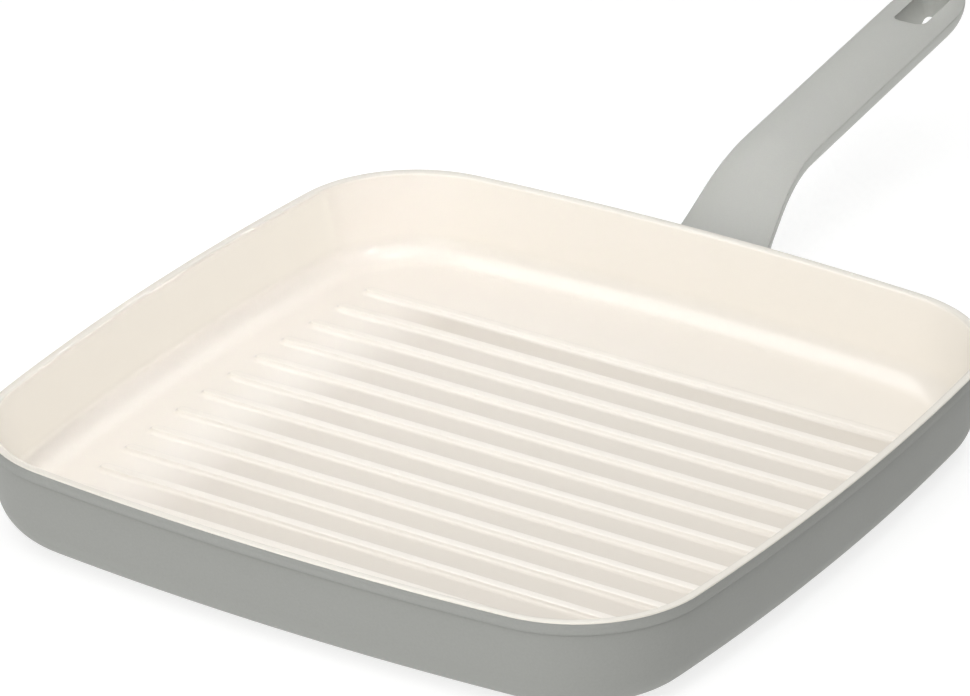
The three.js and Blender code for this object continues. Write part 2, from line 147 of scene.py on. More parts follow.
floor_height = PAN_HEIGHT - COOKING_DEPTH
draft_cos = math.cos(WALL_DRAFT)
draft_sin = math.sin(WALL_DRAFT)
lip_centre = Vector((RIM_WIDTH - RIM_ROUND * draft_cos, PAN_HEIGHT - RIM_ROUND))
inner_line = lip_centre.x * draft_cos + lip_centre.y * draft_sin + RIM_ROUND
fillet_height = floor_height + FLOOR_FILLET
fillet_centre = Vector(
    ((inner_line + FLOOR_FILLET - fillet_height * draft_sin) / draft_cos, fillet_height)
)
wall_top = PAN_HEIGHT - RIM_BAND_HEIGHT - RIM_BAND_STEP
edge_height = FOOT_HEIGHT + BASE_EDGE_RADIUS
outer_line = RIM_BAND_STEP * draft_cos + wall_top * draft_sin
edge_centre = Vector(
    ((outer_line + BASE_EDGE_RADIUS - edge_height * draft_sin) / draft_cos, edge_height)
)


def cooking_profile(depth):
    """From the flat of the rim down the inner wall to the floor, a given depth inside the lining's face."""
    lip = arc_points(lip_centre, RIM_ROUND - depth, QUARTER, WALL_DRAFT, LIP_STEPS)
    fillet = arc_points(
        fillet_centre, FLOOR_FILLET + depth, math.pi + WALL_DRAFT, 3 * QUARTER, FILLET_STEPS
    )
    strip = Vector((fillet_centre.x + SUPPORT_STRIP, floor_height - depth))
    return [*lip, *fillet, strip]


def outside_profile(depth):
    """From the rim's band down over its groove and the outer wall to the foot, a depth inside the enamel."""
    band_centre = Vector((RIM_BAND_ROUND, wall_top + RIM_BAND_STEP + RIM_BAND_ROUND))
    band_end = math.pi + RIM_BAND_UNDERCUT
    band = arc_points(band_centre, RIM_BAND_ROUND - depth, math.pi, band_end, BAND_STEPS)
    groove = Vector((RIM_BAND_STEP + RIM_GROOVE_DEPTH + depth, wall_top + RIM_BAND_ROUND))
    below = RIM_BAND_STEP + RIM_GROOVE_WIDTH * math.tan(WALL_DRAFT) + depth
    lip = Vector((below, wall_top - RIM_GROOVE_WIDTH))
    edge = arc_points(
        edge_centre, BASE_EDGE_RADIUS - depth, math.pi + WALL_DRAFT, 3 * QUARTER, EDGE_STEPS
    )
    top = Vector((depth, PAN_HEIGHT - LINING_THICKNESS - COAT_GAP))
    return [top, *band, groove, lip, *edge]


RIDGE_COUNT = 12
RIDGE_PITCH = 16.2 * MM
RIDGE_HEIGHT = 1.5 * MM
RIDGE_TOP_WIDTH = 4 * MM
RIDGE_END_INSET = 27 * MM
RIDGE_SIDE_LEAN = math.radians(36)  # of a ridge's side, from upright
RIDGE_FOOT_FILLET = 2.4 * MM
RIDGE_TOP_ROUND = 0.5 * MM
RIDGE_TOP_SLOPE = math.radians(7)  # of the gently crowned top, at its edges
RIDGE_TOP_FLAT = 0.5 * MM  # half width of what is flat in the middle
RIDGE_END_STEPS = 12
RIDGE_FOOT_STEPS = 6
RIDGE_EDGE_STEPS = 4
RIDGE_CROWN_STEPS = 5


def ridge_profile(depth):
    """From the floor up a ridge's foot fillet, its side and its rounded edge to its crowned top."""
    foot_radius = RIDGE_FOOT_FILLET + depth
    foot_centre = Vector((0, foot_radius))
    foot = arc_points(foot_centre, foot_radius, -QUARTER, -RIDGE_SIDE_LEAN, RIDGE_FOOT_STEPS)
    crown_run = RIDGE_TOP_WIDTH / 2 - depth - RIDGE_TOP_FLAT - RIDGE_TOP_ROUND
    crown_radius = crown_run / math.sin(RIDGE_TOP_SLOPE)
    crown_rise = crown_radius * (1 - math.cos(RIDGE_TOP_SLOPE))
    edge_height = RIDGE_HEIGHT - crown_rise - RIDGE_TOP_ROUND * math.cos(RIDGE_TOP_SLOPE)
    side_rise = edge_height + RIDGE_TOP_ROUND * math.sin(RIDGE_SIDE_LEAN) - foot[-1].y
    side_run = side_rise * math.tan(RIDGE_SIDE_LEAN)
    edge_centre = Vector((
        foot[-1].x + side_run + RIDGE_TOP_ROUND * math.cos(RIDGE_SIDE_LEAN),
        edge_height,
    ))
    crown_start = QUARTER + RIDGE_TOP_SLOPE
    edge = arc_points(
        edge_centre, RIDGE_TOP_ROUND, math.pi - RIDGE_SIDE_LEAN, crown_start, RIDGE_EDGE_STEPS
    )
    crown_centre = Vector((edge[-1].x + crown_run, RIDGE_HEIGHT - crown_radius))
    crown = arc_points(crown_centre, crown_radius, crown_start, QUARTER, RIDGE_CROWN_STEPS)
    return [Vector((-SUPPORT_STRIP, 0)), *foot, *edge, *crown[1:]]


def ridge(shape, x, half_length, profile):
    """One ridge: a round-ended bar, turned round its two ends, then carried up its profile."""
    half_width = profile[-1].x + RIDGE_TOP_FLAT + SUPPORT_STRIP
    edges_before = set(shape.edges)
    first = shape.verts.new((x + half_width, half_length, floor_height))
    last = first
    for side in (1, -1):
        if side < 0:
            drop = bmesh.ops.extrude_vert_indiv(shape, verts=[last])["verts"]
            bmesh.ops.translate(shape, verts=drop, vec=(0, -2 * half_length, 0))
            last = drop[0]
        arc = bmesh.ops.spin(
            shape,
            geom=[last],
            cent=(x, side * half_length, floor_height),
            axis=(0, 0, 1),
            angle=math.pi,
            steps=RIDGE_END_STEPS,
        )
        last = next(item for item in arc["geom_last"] if isinstance(item, bmesh.types.BMVert))
    face = turned_towards(closed_face(shape, first, last, edges_before), 1)
    sweep(shape, face, profile)
    return open_edges(shape, edges_before)


def cooking_side(shape, face, depth):
    """Carries a face from the rim down to the floor, and sets the ridges into the floor."""
    sweep(shape, face, cooking_profile(depth))
    floor_edges = list(face.edges)
    bmesh.ops.delete(shape, geom=[face], context="FACES_ONLY")
    profile = ridge_profile(depth)
    for i in range(RIDGE_COUNT):
        x = (i - (RIDGE_COUNT - 1) / 2) * RIDGE_PITCH
        reach = SIDE_BOW_RADIUS - RIDGE_END_INSET
        half_length = bow_centre + math.sqrt(reach ** 2 - x ** 2) - RIDGE_TOP_WIDTH / 2
        before = set(shape.verts)
        foot = ridge(shape, x, half_length, profile)
        made = [vert for vert in shape.verts if vert not in before]
        bmesh.ops.translate(shape, verts=made, vec=(0, 0, -depth))
        floor_edges += foot
    bmesh.ops.triangle_fill(shape, use_beauty=True, edges=floor_edges, normal=(0, 0, 1))


plate_low, plate_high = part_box("base_plate")
PLATE_INSET = 40 * MM
PLATE_THICKNESS = plate_high.z - plate_low.z
PLATE_HOLE_RADIUS = 4 * MM
PLATE_HOLE_PITCH = 28 * MM
PLATE_HOLES_PER_SIDE = 6
PLATE_FIT = 0.3 * MM
PLATE_HOLE_STEPS = 32
PEG_CHAMFER = 0.25 * MM

half_grid = (PLATE_HOLES_PER_SIDE - 1) / 2
hole_centres = [
    Vector((i - half_grid, j - half_grid, 0)) * PLATE_HOLE_PITCH
    for i in range(PLATE_HOLES_PER_SIDE)
    for j in range(PLATE_HOLES_PER_SIDE)
]


def linear(hex_colour):
    """An sRGB hex colour as linear light."""
    values = [int(hex_colour[i:i + 2], 16) / 255 for i in (0, 2, 4)]
    light = [v / 12.92 if v <= 0.04045 else ((v + 0.055) / 1.055) ** 2.4 for v in values]
    return (*light, 1)


def set_inputs(material, node, inputs):
    """Sets a node's inputs: each is a number, a colour, or another node's output to link."""
    for name, value in inputs.items():
        if isinstance(value, bpy.types.NodeSocket):
            material.node_tree.links.new(value, node.inputs[name])
        else:
            node.inputs[name].default_value = value


def add_node(material, kind, inputs, **settings):
    """Adds a node with its settings and inputs."""
    made = material.node_tree.nodes.new(kind)
    for name, value in settings.items():
        setattr(made, name, value)
    set_inputs(material, made, inputs)
    return made


def new_material(name):
    """An empty node material, with its shader and the place on the piece that its patterns read."""
    material = bpy.data.materials.new(name)
    material.use_nodes = True
    shader = material.node_tree.nodes["Principled BSDF"]
    place = add_node(material, "ShaderNodeTexCoord", {}).outputs["Object"]
    return material, shader, place


SHARP_ANGLE = math.radians(30)  # edges that turn more than this stay sharp to the eye


def make_piece(name, shape, material, slot, *nodes):
    """Turns a finished mesh into a piece that rides on the pan and stands for its solid."""
    mesh = bpy.data.meshes.new(name)
    shape.to_mesh(mesh)
    shape.free()
    mesh.materials.append(material)
    mesh.shade_smooth()
    mesh.set_sharp_from_angle(angle=SHARP_ANGLE)
    piece = bpy.data.objects.new(name, mesh)
    bpy.context.scene.collection.objects.link(piece)
    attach(piece, "root")
    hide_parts(*nodes)
    return piece


# Turned aluminium: pale grey metal with fine rings left by the cutter that faced the foot.
CUT_RING = 2.4 * MM  # drawn wider than real cutter marks, so that it shows
WAVE_RATE = 20  # a wave node turns through this many radians for each unit of its scale
aluminium, shader, place = new_material("machined_aluminium")
rings = add_node(
    aluminium,
    "ShaderNodeTexWave",
    {"Vector": place, "Scale": 2 * math.pi / (WAVE_RATE * CUT_RING), "Distortion": 0.6, "Detail": 2},
    wave_type="RINGS",
    rings_direction="Z",
)
ring_bump = add_node(
    aluminium, "ShaderNodeBump", {"Height": rings.outputs["Fac"], "Strength": 0.12, "Distance": 0.1 * MM}
)
ring_sheen = add_node(
    aluminium,
    "ShaderNodeMapRange",
    {"Value": rings.outputs["Fac"], "To Min": 0.3, "To Max": 0.42},
)
set_inputs(aluminium, shader, {
    "Base Color": linear("C2C3C4"),
    "Metallic": 1,
    "Roughness": ring_sheen.outputs["Result"],
    "Normal": ring_bump.outputs["Normal"],
})

shape = bmesh.new()
metal_outside = ENAMEL_THICKNESS + COAT_GAP
metal_inside = LINING_THICKNESS + COAT_GAP
profile = outside_profile(metal_outside)
down = pan_face(shape, profile[0].x, profile[0].y, -1)
pocket = PLATE_INSET - PLATE_FIT
foot_inset = edge_centre.x + COAT_GAP
sweep(shape, down, [
    *profile,
    Vector((foot_inset, PEG_CHAMFER)),
    Vector((foot_inset + PEG_CHAMFER, 0)),
    Vector((pocket - PEG_CHAMFER, 0)),
    Vector((pocket, PEG_CHAMFER)),
    Vector((pocket + COAT_GAP, PLATE_THICKNESS)),
])
top_edges = open_edges(shape, ())
pocket_edges = list(down.edges)
bmesh.ops.delete(shape, geom=[down], context="FACES_ONLY")
for centre in hole_centres:
    edges_before = set(shape.edges)
    peg = bmesh.ops.create_circle(
        shape,
        cap_ends=True,
        segments=PLATE_HOLE_STEPS,
        radius=PLATE_HOLE_RADIUS - PLATE_FIT,
        matrix=Matrix.Translation(centre + Vector((0, 0, PLATE_THICKNESS))),
    )
    face = turned_towards(peg["verts"][0].link_faces[0], -1)
    sweep(shape, face, [
        Vector((0, PLATE_THICKNESS)),
        Vector((COAT_GAP, PEG_CHAMFER)),
        Vector((PEG_CHAMFER, 0)),
        Vector((PEG_CHAMFER + SUPPORT_STRIP, 0)),
    ])
    pocket_edges += open_edges(shape, edges_before)
bmesh.ops.triangle_fill(shape, use_beauty=True, edges=pocket_edges, normal=(0, 0, -1))
up = turned_towards(bmesh.ops.edgeloop_fill(shape, edges=top_edges)["faces"][0], 1)
inside = cooking_profile(metal_inside)
sweep(shape, up, [Vector((metal_outside, inside[0].y)), inside[0]])
cooking_side(shape, up, metal_inside)

# Lug: a block cast onto the wall, which the handle's screw is driven into.
LUG_WIDTH = 20 * MM
LUG_BOTTOM = 10 * MM
LUG_TOP = 20 * MM
LUG_ROOT = 3 * MM  # from the pan's outline in to the lug's root, which lies in the wall
LUG_ROUND = 1.5 * MM
ROUND_STEPS = 3
lug_low = Vector((PAN_WIDTH / 2 - LUG_ROOT, -LUG_WIDTH / 2, LUG_BOTTOM))
lug_high = Vector((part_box("pan_body")[1].x, LUG_WIDTH / 2, LUG_TOP))
lug = bmesh.ops.create_cube(
    shape,
    size=1,
    matrix=Matrix.Translation((lug_low + lug_high) / 2) @ Matrix.Diagonal((*(lug_high - lug_low), 1)),
)
lug_edges = list({edge for vert in lug["verts"] for edge in vert.link_edges})
bmesh.ops.bevel(
    shape,
    geom=lug_edges,
    offset=LUG_ROUND,
    affect="EDGES",
    segments=ROUND_STEPS,
    profile=0.5,
    material=-1,
)
make_piece("pan_casting", shape, aluminium, "cast_aluminium", "pan_body")

# Base plate: a 1 mm sheet of magnetic stainless steel, punched with a grid of holes and pressed into the
# base, so that the soft aluminium fills its holes. It lets the pan work on an induction hob.

# Rolled stainless: darker than the aluminium, with fine grain along the sheet.
GRAIN_WIDTH = 0.5 * MM  # drawn coarser than real rolling grain, so that it shows
GRAIN_LENGTH = 30 * MM
plate_steel, shader, place = new_material("rolled_stainless")
stretched = add_node(
    plate_steel,
    "ShaderNodeMapping",
    {"Vector": place, "Scale": (1 / GRAIN_LENGTH, 1 / GRAIN_WIDTH, 1 / GRAIN_WIDTH)},
)
grain = add_node(
    plate_steel, "ShaderNodeTexNoise", {"Vector": stretched.outputs["Vector"], "Scale": 1, "Detail": 3}
)
grain_sheen = add_node(
    plate_steel, "ShaderNodeMapRange", {"Value": grain.outputs["Fac"], "To Min": 0.26, "To Max": 0.46}
)
grain_bump = add_node(
    plate_steel, "ShaderNodeBump", {"Height": grain.outputs["Fac"], "Strength": 0.1, "Distance": 0.05 * MM}
)
set_inputs(plate_steel, shader, {
    "Base Color": linear("A9AAAB"),
    "Metallic": 1,
    "Roughness": grain_sheen.outputs["Result"],
    "Normal": grain_bump.outputs["Normal"],
})

shape = bmesh.new()
sheet = pan_face(shape, PLATE_INSET, PLATE_THICKNESS, -1)
PLATE_EDGE = 0.15 * MM
sweep(shape, sheet, [
    Vector((0, PLATE_THICKNESS)),
    Vector((COAT_GAP, PLATE_EDGE)),
    Vector((PLATE_EDGE, 0)),
    Vector((PLATE_EDGE + SUPPORT_STRIP, 0)),
])
back_edges = open_edges(shape, ())
sheet_edges = list(sheet.edges)
bmesh.ops.delete(shape, geom=[sheet], context="FACES_ONLY")
for centre in hole_centres:
    edges_before = set(shape.edges)
    hole = bmesh.ops.create_circle(
        shape,
        cap_ends=True,
        segments=PLATE_HOLE_STEPS,
        radius=PLATE_HOLE_RADIUS + PLATE_EDGE,
        matrix=Matrix.Translation(centre),
    )
    face = turned_towards(hole["verts"][0].link_faces[0], -1)
    sweep(shape, face, [
        Vector((0, 0)),
        Vector((PLATE_EDGE, PLATE_EDGE)),
        Vector((PLATE_EDGE + COAT_GAP, PLATE_THICKNESS)),
    ])
    sheet_edges += open_edges(shape, edges_before)
    back_edges += face.edges
    bmesh.ops.delete(shape, geom=[face], context="FACES_ONLY")
bmesh.ops.triangle_fill(shape, use_beauty=True, edges=sheet_edges, normal=(0, 0, -1))
bmesh.ops.triangle_fill(shape, use_beauty=True, edges=back_edges, normal=(0, 0, 1))
make_piece("punched_plate", shape, plate_steel, "plate_steel", "base_plate")

# Ceramic lining: a sol-gel ceramic coat sprayed over the inside of the pan and the flat of its rim, and
# baked. It is glossy and follows every ridge, and it ends at the outer edge of the rim.
RIM_EDGE_STEPS = 4
shape = bmesh.new()
lip_round = Vector((LINING_THICKNESS, PAN_HEIGHT - LINING_THICKNESS))
lip = arc_points(lip_round, LINING_THICKNESS, math.pi, QUARTER, RIM_EDGE_STEPS)
rim = pan_face(shape, lip[0].x, lip[0].y, 1)
inside = cooking_profile(0)
sweep(shape, rim, [*lip, inside[0]])
cooking_side(shape, rim, 0)

# Baked ceramic: warm cream, smooth and glossy, with a faint orange-peel ripple. Painted shade darkens the
# channels between the ridges, most towards their -Y ends, and painted light makes the walls paler. Painted
# shade makes the flat of the rim a little greyer.
FLOOR_CREAM = "ECE6DD"
CLOUD_CREAM = "EAE4DA"
# Painted light: the cream turns paler up the walls, from the height of the ridges to the top of the floor
# fillet and above.
WALL_PAINTED_LIGHT_CREAM = "F8F2E8"
# Painted shade: the flat of the rim is drawn a little greyer.
RIM_PAINTED_SHADE_CREAM = "DED9CE"
# Painted shade: the channels between the ridges are drawn darker, fading in from the ridges' +Y ends and
# deepest at their -Y ends.
CHANNEL_PAINTED_SHADE_CREAM = "D2CABE"
PEEL_SIZE = 3 * MM
CLOUD_SIZE = 60 * MM
RIM_SHADE_LOW = 0.6 * MM  # under the top of the rim, where its painted shade starts
RIM_SHADE_HIGH = 0.1 * MM  # and where it is full
CHANNEL_SHADE_HEIGHT = 0.6 * MM  # above the floor, where the channel's painted shade ends
CHANNEL_SHADE_EDGE = 2 * MM  # either way from the outer ridges, over which it ends
SHADE_FROM_PLUS_Y_START = 12 * MM  # inside the ridges' +Y ends, where the channels' painted shade starts
SHADE_FROM_PLUS_Y_FULL = 46 * MM  # and where it is full
SHADE_AT_MINUS_Y_FULL = 4.2 * MM  # inside their -Y ends, up to where it is full
SHADE_AT_MINUS_Y_PAST = 9.8 * MM  # past those ends, where it is gone
FIRST_COLOUR = 6  # places of the colour sockets on a mix node
SECOND_COLOUR = 7
MIXED_COLOUR = 2
ridge_span = (RIDGE_COUNT - 1) / 2 * RIDGE_PITCH
ridge_reach = PAN_WIDTH / 2 - RIDGE_END_INSET

cream, shader, place = new_material("cream_ceramic")
peel = add_node(cream, "ShaderNodeTexNoise", {"Vector": place, "Scale": 1 / PEEL_SIZE, "Detail": 2})
peel_bump = add_node(
    cream, "ShaderNodeBump", {"Height": peel.outputs["Fac"], "Strength": 0.06, "Distance": 0.1 * MM}
)
clouds = add_node(cream, "ShaderNodeTexNoise", {"Vector": place, "Scale": 1 / CLOUD_SIZE, "Detail": 3})
axes = add_node(cream, "ShaderNodeSeparateXYZ", {"Vector": place})
across = add_node(cream, "ShaderNodeMath", {0: axes.outputs["X"]}, operation="ABSOLUTE")
height = axes.outputs["Z"]
along = axes.outputs["Y"]
# Masks for the painted light on the walls and the painted shade on the rim and in the channels.
wall_light_share, rim_shade_share, low, between, plus_y_shade_share, minus_y_shade_share = [
    add_node(
        cream,
        "ShaderNodeMapRange",
        {"Value": value, "From Min": none_at, "From Max": full_at},
        interpolation_type="SMOOTHSTEP",
    )
    for value, none_at, full_at in (
        (height, floor_height + RIDGE_HEIGHT, floor_height + FLOOR_FILLET),
        (height, PAN_HEIGHT - RIM_SHADE_LOW, PAN_HEIGHT - RIM_SHADE_HIGH),
        (height, floor_height + CHANNEL_SHADE_HEIGHT, floor_height),
        (across.outputs[0], ridge_span + CHANNEL_SHADE_EDGE, ridge_span - CHANNEL_SHADE_EDGE),
        (along, ridge_reach - SHADE_FROM_PLUS_Y_START, ridge_reach - SHADE_FROM_PLUS_Y_FULL),
        (along, -ridge_reach - SHADE_AT_MINUS_Y_PAST, -ridge_reach + SHADE_AT_MINUS_Y_FULL),
    )
]
# The channels' painted shade: low on the floor, between the outer ridges, and along the ridges.
channel_shade = low
for limit in (between, plus_y_shade_share, minus_y_shade_share):
    channel_shade = add_node(
        cream, "ShaderNodeMath", {0: channel_shade.outputs[0], 1: limit.outputs[0]}, operation="MULTIPLY"
    )
cream_and_painted_light = add_node(
    cream,
    "ShaderNodeMix",
    {"Factor": clouds.outputs["Fac"], FIRST_COLOUR: linear(FLOOR_CREAM), SECOND_COLOUR: linear(CLOUD_CREAM)},
    data_type="RGBA",
)
# Lays the painted light and painted shade over the cream's own clouded tone.
for share, colour in ((wall_light_share, WALL_PAINTED_LIGHT_CREAM), (rim_shade_share, RIM_PAINTED_SHADE_CREAM), (channel_shade, CHANNEL_PAINTED_SHADE_CREAM)):
    cream_and_painted_light = add_node(
        cream,
        "ShaderNodeMix",
        {
            "Factor": share.outputs[0],
            FIRST_COLOUR: cream_and_painted_light.outputs[MIXED_COLOUR],
            SECOND_COLOUR: linear(colour),
        },
        data_type="RGBA",
    )
set_inputs(cream, shader, {
    "Base Color": cream_and_painted_light.outputs[MIXED_COLOUR],
    "Roughness": 0.3,
    "IOR": 1.5,
    "Coat Weight": 0.6,
    "Coat Roughness": 0.12,
    "Normal": peel_bump.outputs["Normal"],
})
lining = make_piece("cream_lining", shape, cream, "cream_ceramic", "ceramic_lining")
coat = lining.modifiers.new("coat", "SOLIDIFY")
coat.thickness = LINING_THICKNESS
coat.offset = -1

# Outer enamel: a grey heat-proof coat, sprayed over the outside from the foot up to the rim and baked.
# It is matt, with a fine sandy feel, and it wraps the shallow band under the rim.
shape = bmesh.new()
profile = outside_profile(0)
outer = pan_face(shape, profile[0].x, profile[0].y, -1)
sweep(shape, outer, profile)
bmesh.ops.delete(shape, geom=[outer], context="FACES_ONLY")

# Matt enamel: warm mid grey, with a sandy grain that breaks up its low sheen.
SAND_SIZE = 0.9 * MM  # drawn coarser than the real grain, so that it shows
SHEEN_SIZE = 25 * MM  # of the patches where the coat is a little more or less matt
DARK_GREY = "92938F"
LIGHT_GREY = "989995"
grey, shader, place = new_material("matt_grey_enamel")
sand = add_node(grey, "ShaderNodeTexNoise", {"Vector": place, "Scale": 1 / SAND_SIZE, "Detail": 2})
sand_bump = add_node(
    grey, "ShaderNodeBump", {"Height": sand.outputs["Fac"], "Strength": 0.12, "Distance": 0.15 * MM}
)
cloud = add_node(grey, "ShaderNodeTexNoise", {"Vector": place, "Scale": 1 / SHEEN_SIZE, "Detail": 4})
sheen = add_node(
    grey, "ShaderNodeMapRange", {"Value": cloud.outputs["Fac"], "To Min": 0.46, "To Max": 0.58}
)
shade = add_node(
    grey,
    "ShaderNodeMix",
    {"Factor": sand.outputs["Fac"], FIRST_COLOUR: linear(DARK_GREY), SECOND_COLOUR: linear(LIGHT_GREY)},
    data_type="RGBA",
)
set_inputs(grey, shader, {
    "Base Color": shade.outputs[MIXED_COLOUR],
    "Roughness": sheen.outputs["Result"],
    "Specular IOR Level": 0.2,
    "Normal": sand_bump.outputs["Normal"],
})
outside = make_piece("grey_outside", shape, grey, "grey_enamel", "outer_enamel")
coat = outside.modifiers.new("coat", "SOLIDIFY")
coat.thickness = ENAMEL_THICKNESS
coat.offset = -1

# Handle: one moulding of heat-proof phenolic with a soft matt skin. A broad foot hugs the wall, the neck
# rises out of it, and a flat-topped grip with a rounded belly ends in a hole to hang the pan by.
HANDLE_ROOT_HEIGHT = 23.8 * MM
HANDLE_ROOT_SLOPE = math.radians(5)
HANDLE_FOOT_SLOPE = math.radians(37.5)
HANDLE_GRIP_SLOPE = math.radians(7.2)
HANDLE_FLARE_RADIUS = 34 * MM
HANDLE_FOOT_RUN = 13 * MM
HANDLE_BEND_RADIUS = 60 * MM
HANDLE_GRIP_LENGTH = 125.5 * MM
HANDLE_GRIP_WIDTH = 28 * MM
HANDLE_FOOT_WIDTH = 41 * MM
HANDLE_FLARE_POWER = 1.5
HANDLE_CROWN = 2.2 * MM
HANDLE_GRIP_DEPTH = 12.4 * MM
HANDLE_HEEL_DEPTH = 19.5 * MM
HANDLE_HEEL_START = 8 * MM
HANDLE_HEEL_END = 22 * MM
HANDLE_TIP_LENGTH = 23.5 * MM
HANDLE_GAP = 0.4 * MM
HANDLE_EDGE_ROUND = 0.7 * MM
SECTION_POINTS = 48
ON_EDGE = 0.001  # of a section's radius: points this near its middle height lie on the top's edges
STATION_SPACING = 2.5 * MM
TIP_STEPS = 12

flare_length = HANDLE_FLARE_RADIUS * (HANDLE_FOOT_SLOPE - HANDLE_ROOT_SLOPE)
bend_length = HANDLE_BEND_RADIUS * (HANDLE_FOOT_SLOPE - HANDLE_GRIP_SLOPE)
grip_start = flare_length + HANDLE_FOOT_RUN + bend_length
top_length = grip_start + HANDLE_GRIP_LENGTH
top_line = (
    (flare_length, HANDLE_FLARE_RADIUS),
    (HANDLE_FOOT_RUN, None),
    (bend_length, -HANDLE_BEND_RADIUS),
    (HANDLE_GRIP_LENGTH, None),
)


def handle_frame(along):
    """The handle's own axes at a distance along its top line: X along it, Y across and Z out of the top."""
    place = Matrix.Translation((PAN_WIDTH / 2, 0, HANDLE_ROOT_HEIGHT))
    place = place @ Matrix.Rotation(-HANDLE_ROOT_SLOPE, 4, "Y")
    for length, radius in top_line:
        step = min(max(along, 0), length)
        if radius:
            centre = Matrix.Translation((0, 0, radius))
            place = place @ centre @ Matrix.Rotation(-step / radius, 4, "Y") @ centre.inverted()
        else:
            place = place @ Matrix.Translation((step, 0, 0))
        along -= step
    return place


def wall_inset(height):
    """How far inside the outline the pan's outer face lies at a height."""
    if height > edge_centre.y - BASE_EDGE_RADIUS * draft_sin:
        return RIM_BAND_STEP + (wall_top - height) * math.tan(WALL_DRAFT)
    return edge_centre.x - math.sqrt(BASE_EDGE_RADIUS ** 2 - (edge_centre.y - height) ** 2)


HOLE_LENGTH = 26 * MM
HOLE_WIDTH = 12.8 * MM
HOLE_CORNER = 4 * MM
HOLE_TIP_MARGIN = 8.5 * MM
HOLE_LIP = 0.7 * MM  # width and depth of the hollow under the hole's upper edge
HOLE_LIP_STEPS = 5
HOLE_DRAFT = math.radians(10)
HOLE_CUT_DEPTH = 18.6 * MM  # reaches past the belly of the grip
LAND_HALF_WIDTH = 10.6 * MM  # flat land round the hole
LAND_RUN_IN = 5 * MM
hole_middle = top_length - HOLE_TIP_MARGIN - HOLE_LENGTH / 2
hole_start = hole_middle - HOLE_LENGTH / 2
land_height = HANDLE_CROWN * (1 - (2 * LAND_HALF_WIDTH / HANDLE_GRIP_WIDTH) ** 2)


def smooth_step(value, start, end):
    """How far a value is from start to end, from 0 to 1, easing in and out."""
    share = min(max((value - start) / (end - start), 0), 1)
    return share * share * (3 - 2 * share)


upright = Matrix(((0, 0, 1, 0), (1, 0, 0, 0), (0, 1, 0, 0), (0, 0, 0, 1)))  # stands a circle across X


def handle_ring(shape, along):
    """One section of the handle: a circle drawn out into a crowned top and a rounded belly."""
    flare = min(max(1 - along / grip_start, 0), 1) ** HANDLE_FLARE_POWER
    past_tip = max(0, 1 - (top_length - along) / HANDLE_TIP_LENGTH)
    round_tip = math.sqrt(1 - past_tip ** 2)
    half_width = (HANDLE_GRIP_WIDTH + (HANDLE_FOOT_WIDTH - HANDLE_GRIP_WIDTH) * flare) / 2 * round_tip
    heel = 1 - smooth_step(along, HANDLE_HEEL_START, HANDLE_HEEL_END)
    depth = (HANDLE_GRIP_DEPTH + (HANDLE_HEEL_DEPTH - HANDLE_GRIP_DEPTH) * heel) * round_tip
    flatness = smooth_step(along, hole_start - LAND_RUN_IN / 2, hole_start + LAND_RUN_IN)
    top_limit = HANDLE_CROWN + (land_height - HANDLE_CROWN) * flatness
    ring = bmesh.ops.create_circle(shape, segments=SECTION_POINTS, radius=1, matrix=upright)["verts"]
    creases = [vert for vert in ring if abs(vert.co.z) < ON_EDGE]
    for vert in ring:
        across, up = vert.co.y, vert.co.z
        crown = min(HANDLE_CROWN * (1 - across ** 2) * round_tip, top_limit)
        vert.co = (0, across * half_width, crown if up > 0 else depth * up)
    bmesh.ops.transform(shape, matrix=handle_frame(along), verts=ring)
    return ring, creases


def ring_edges(ring):
    """The edges that join the points of one section."""
    return list({edge for vert in ring for edge in vert.link_edges if edge.other_vert(vert) in ring})


tip_start = top_length - HANDLE_TIP_LENGTH
station_count = round(tip_start / STATION_SPACING)
stations = [tip_start * i / station_count for i in range(station_count + 1)]
stations += [
    tip_start + HANDLE_TIP_LENGTH * math.sin(QUARTER * i / TIP_STEPS) for i in range(1, TIP_STEPS)
]

shape = bmesh.new()
sections = [handle_ring(shape, along) for along in stations]
root = sections[0][0]
for vert in root:
    drop = SIDE_BOW_RADIUS - math.sqrt(SIDE_BOW_RADIUS ** 2 - vert.co.y ** 2)
    vert.co.x = PAN_WIDTH / 2 - wall_inset(vert.co.z) - drop + HANDLE_GAP
crease_verts = {vert for _, creases in sections for vert in creases}
bmesh.ops.edgeloop_fill(shape, edges=ring_edges(root))
bmesh.ops.edgeloop_fill(shape, edges=ring_edges(sections[-1][0]))
for (near, _), (far, _) in zip(sections, sections[1:]):
    bmesh.ops.bridge_loops(shape, edges=ring_edges(near) + ring_edges(far))
bmesh.ops.recalc_face_normals(shape, faces=shape.faces)
long_edges = [
    edge for edge in shape.edges
    if crease_verts.issuperset(edge.verts) and len(edge.link_faces) == 2
]
bmesh.ops.bevel(
    shape,
    geom=long_edges,
    offset=HANDLE_EDGE_ROUND,
    affect="EDGES",
    segments=ROUND_STEPS,
    profile=0.5,
    material=-1,
)

